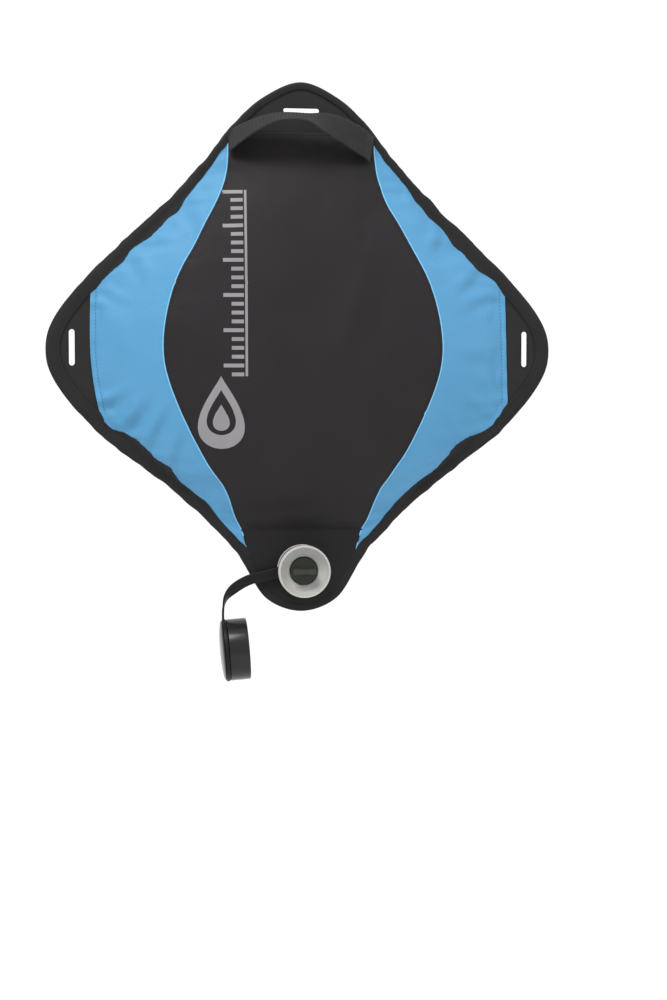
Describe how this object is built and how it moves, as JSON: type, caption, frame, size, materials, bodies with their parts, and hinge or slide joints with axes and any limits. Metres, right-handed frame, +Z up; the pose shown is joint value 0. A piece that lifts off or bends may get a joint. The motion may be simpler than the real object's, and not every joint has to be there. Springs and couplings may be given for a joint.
{
  "type": "folding water bag",
  "caption": "Diamond-shaped soft water bag with slotted corner tabs, carry handle, quarter-turn tap and tethered screw-over cap.",
  "frame": {"origin": "centre of the hanging slot in the top tab, in the bag's seam plane", "axes": "+Z up the bag from the tap corner to the top tab, -Y out of the front, +X to the right as seen from the front"},
  "size_m": [0.384, 0.0621, 0.4524],
  "materials": {
    "black_cloth": "matt coated nylon, fine plain weave",
    "blue_cloth": "coated nylon, fine plain weave, slight sheen",
    "binding_tape": "matt woven binding",
    "webbing": "ribbed nylon webbing",
    "film": "glossy metallised film",
    "white_plastic": "satin moulded",
    "clear_plastic": "translucent satin moulded",
    "grey_plastic": "satin moulded",
    "strap_rubber": "satin moulded",
    "seal_rubber": "matt",
    "cap_plastic": "polished moulded"
  },
  "bodies": {
    "bag": {"front_centre_panel": "black_cloth", "side_panel_left": "blue_cloth", "side_panel_right": "blue_cloth", "back_panel": "black_cloth", "bladder_front_film": "film", "bladder_back_film": "film", "upper_binding": "binding_tape", "lower_binding": "binding_tape", "top_tab": "black_cloth", "tap_patch": "black_cloth", "handle_anchor_left": "webbing", "handle_anchor_right": "webbing", "gland": "white_plastic", "gland_lock_ring": "white_plastic"},
    "handle": {"carry_handle": "webbing"},
    "left_corner": {"left_tab": "black_cloth", "left_tab_binding": "binding_tape"},
    "right_corner": {"right_tab": "black_cloth", "right_tab_binding": "binding_tape"},
    "tap": {"tap_collar": "clear_plastic", "tap_plug": "clear_plastic", "plug_seal": "seal_rubber"},
    "valve": {"valve_rotor": "white_plastic", "rotor_seal_front": "seal_rubber", "rotor_seal_back": "seal_rubber", "rotor_clip": "grey_plastic", "turn_paddle": "grey_plastic"},
    "tether": {"tether_upper": "strap_rubber"},
    "cap_strap": {"tether_lower": "strap_rubber"},
    "cap_body": {"cap": "cap_plastic", "cap_liner": "seal_rubber"}
  },
  "joints": [
    {"name": "handle_lift", "type": "hinge", "parent": "bag", "child": "handle", "pos_m": [0, -0.00726, -0.0305], "axis": [1, 0, 0], "range_deg": [0, 45]},
    {"name": "left_tab_fold", "type": "hinge", "parent": "bag", "child": "left_corner", "pos_m": [-0.159, 0, -0.1795], "axis": [0, 0, 1], "range_deg": [-60, 60]},
    {"name": "right_tab_fold", "type": "hinge", "parent": "bag", "child": "right_corner", "pos_m": [0.159, 0, -0.1795], "axis": [0, 0, 1], "range_deg": [-60, 60]},
    {"name": "tap_removal", "type": "slide", "parent": "bag", "child": "tap", "axis": [0, -1, 0], "range_m": [0, 0.04]},
    {"name": "valve_turn", "type": "hinge", "parent": "tap", "child": "valve", "pos_m": [0, -0.01, -0.3475], "axis": [0, 1, 0], "range_deg": [0, 90]},
    {"name": "tether_turn", "type": "hinge", "parent": "bag", "child": "tether", "pos_m": [0, -0.006, -0.3475], "axis": [0, 1, 0], "range_deg": [-90, 45]},
    {"name": "strap_flex", "type": "hinge", "parent": "tether", "child": "cap_strap", "pos_m": [-0.0602, -0.0062, -0.3735], "axis": [0, 1, 0], "range_deg": [-8, 60]},
    {"name": "cap_turn", "type": "hinge", "parent": "cap_strap", "child": "cap_body", "pos_m": [-0.0507, -0.0062, -0.4078], "axis": [0.9971, 0, 0.0767], "continuous": true}
  ]
}
